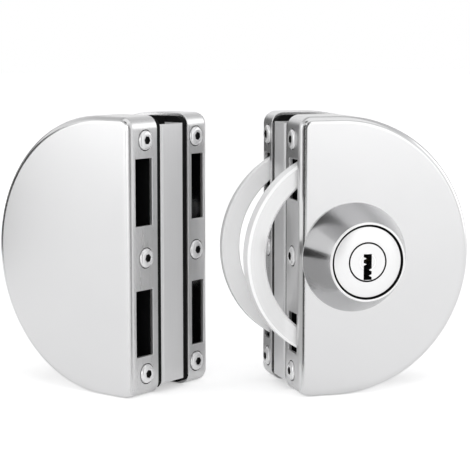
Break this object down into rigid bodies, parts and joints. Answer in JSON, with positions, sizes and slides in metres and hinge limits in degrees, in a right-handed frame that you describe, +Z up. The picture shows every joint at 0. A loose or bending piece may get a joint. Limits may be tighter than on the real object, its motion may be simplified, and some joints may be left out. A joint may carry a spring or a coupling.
{
  "type": "glass door lock",
  "caption": "Two-leaf glass door lock: D-shaped steel casings on both faces of the glass, turning crescent bolts, key cylinder, thumb turn and a slotted keeper half.",
  "frame": {"origin": "centre of the lock half's edge seat: mid height, mid glass, where the edge of the glass leaf rests on the channel's web", "axes": "+X runs into the lock's glass leaf, the key side faces -Y, the thumb turn faces +Y, +Z is up; the bolt axis runs along Y"},
  "size_m": [0.1757, 0.1153, 0.11],
  "materials": {
    "cover_steel": "polished stainless steel",
    "satin_steel": "satin turned",
    "plate_steel": "plain zinc plated",
    "gasket_rubber": "matte black",
    "channel_aluminium": "satin anodised",
    "cast_aluminium": "as cast",
    "screw_steel": "bright",
    "crescent_chrome": "polished",
    "cylinder_chrome": "satin chrome",
    "pin_brass": "turned"
  },
  "bodies": {
    "frame": {"lock_front_cover": "cover_steel", "lock_rear_cover": "cover_steel", "keeper_front_cover": "cover_steel", "keeper_rear_cover": "cover_steel", "lock_front_base": "plate_steel", "lock_rear_base": "plate_steel", "keeper_front_base": "plate_steel", "keeper_rear_base": "plate_steel", "lock_front_gasket": "gasket_rubber", "lock_rear_gasket": "gasket_rubber", "keeper_front_gasket": "gasket_rubber", "keeper_rear_gasket": "gasket_rubber", "lock_edge_channel": "channel_aluminium", "keeper_edge_channel": "channel_aluminium", "lock_core_block": "cast_aluminium", "keeper_core_block": "cast_aluminium", "lock_clamp_screws": "screw_steel", "lock_front_cover_screws": "screw_steel", "lock_rear_cover_screws": "screw_steel", "keeper_clamp_screws": "screw_steel", "keeper_front_cover_screws": "screw_steel", "keeper_rear_cover_screws": "screw_steel", "cylinder_bezel": "satin_steel", "cylinder_housing": "cylinder_chrome", "cylinder_locknut": "plate_steel", "driver_pins": "pin_brass", "pin_springs": "plate_steel", "front_spindle_bush": "pin_brass", "rear_spindle_bush": "pin_brass", "stop_pins": "plate_steel", "thumb_rosette": "satin_steel"},
    "bolt_works": {"spindle": "plate_steel", "front_crescent_bolt": "crescent_chrome", "rear_crescent_bolt": "crescent_chrome", "front_circlip": "plate_steel", "rear_circlip": "plate_steel", "thumb_turn": "cover_steel", "thumb_grub_screw": "screw_steel"},
    "key_plug": {"cylinder_plug": "cylinder_chrome", "plug_tailpiece": "plate_steel", "key_pins": "pin_brass"}
  },
  "joints": [
    {"name": "bolt_turn", "type": "hinge", "parent": "frame", "child": "bolt_works", "pos_m": [0.0212, 0, 0], "axis": [0, 1, 0], "range_deg": [0, 180]},
    {"name": "key_turn", "type": "hinge", "parent": "frame", "child": "key_plug", "pos_m": [0.0212, 0, 0], "axis": [0, 1, 0], "range_deg": [0, 180]}
  ],
  "couplings": [
    {"joint": "key_turn", "follows": "bolt_turn", "ratio": 1}
  ]
}
